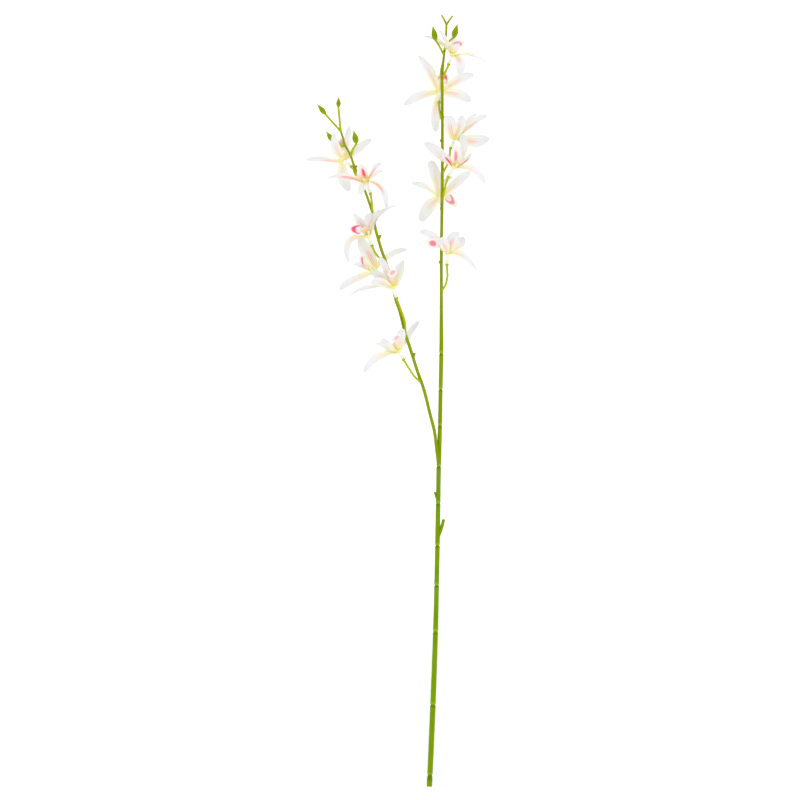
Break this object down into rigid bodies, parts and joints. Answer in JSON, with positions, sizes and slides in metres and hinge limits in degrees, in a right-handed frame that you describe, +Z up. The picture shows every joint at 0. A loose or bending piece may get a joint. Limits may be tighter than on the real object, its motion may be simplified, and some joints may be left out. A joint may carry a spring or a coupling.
{
  "type": "orchid stem",
  "caption": "Cut orchid stem lying down: a jointed green stalk with a side branch, open white and pink blooms along both, and small green buds at the tips.",
  "frame": {"origin": "on the flat spot under the stalk near its cut end, where the stem rests", "axes": "+Y up the stem from the cut end to the buds, +Z up from the surface that it lies on, +X to the right as seen from above"},
  "size_m": [0.2058, 0.85, 0.075],
  "materials": {
    "stem_green": "moulded green plastic with a soft sheen",
    "petal_white": "printed white cloth with pink streaks and a yellow base",
    "lip_pink": "printed cloth, magenta inside a pale rim",
    "tube_pale": "pale greenish white moulded plastic"
  },
  "bodies": {
    "root": {"stem": "stem_green", "right_bloom_1_tepals": "petal_white", "right_bloom_1_lip": "lip_pink", "right_bloom_1_tube": "tube_pale", "right_bloom_2_tepals": "petal_white", "right_bloom_2_lip": "lip_pink", "right_bloom_2_tube": "tube_pale", "right_bloom_3_tepals": "petal_white", "right_bloom_3_lip": "lip_pink", "right_bloom_3_tube": "tube_pale", "right_bloom_4_tepals": "petal_white", "right_bloom_4_lip": "lip_pink", "right_bloom_4_tube": "tube_pale", "right_bloom_5_tepals": "petal_white", "right_bloom_5_lip": "lip_pink", "right_bloom_5_tube": "tube_pale", "right_bloom_6_tepals": "petal_white", "right_bloom_6_lip": "lip_pink", "right_bloom_6_tube": "tube_pale", "left_bloom_1_tepals": "petal_white", "left_bloom_1_lip": "lip_pink", "left_bloom_1_tube": "tube_pale", "left_bloom_2_tepals": "petal_white", "left_bloom_2_lip": "lip_pink", "left_bloom_2_tube": "tube_pale", "left_bloom_3_tepals": "petal_white", "left_bloom_3_lip": "lip_pink", "left_bloom_3_tube": "tube_pale", "left_bloom_4_tepals": "petal_white", "left_bloom_4_lip": "lip_pink", "left_bloom_4_tube": "tube_pale", "left_bloom_5_tepals": "petal_white", "left_bloom_5_lip": "lip_pink", "left_bloom_5_tube": "tube_pale", "left_bloom_6_tepals": "petal_white", "left_bloom_6_lip": "lip_pink", "left_bloom_6_tube": "tube_pale"}
  },
  "joints": []
}
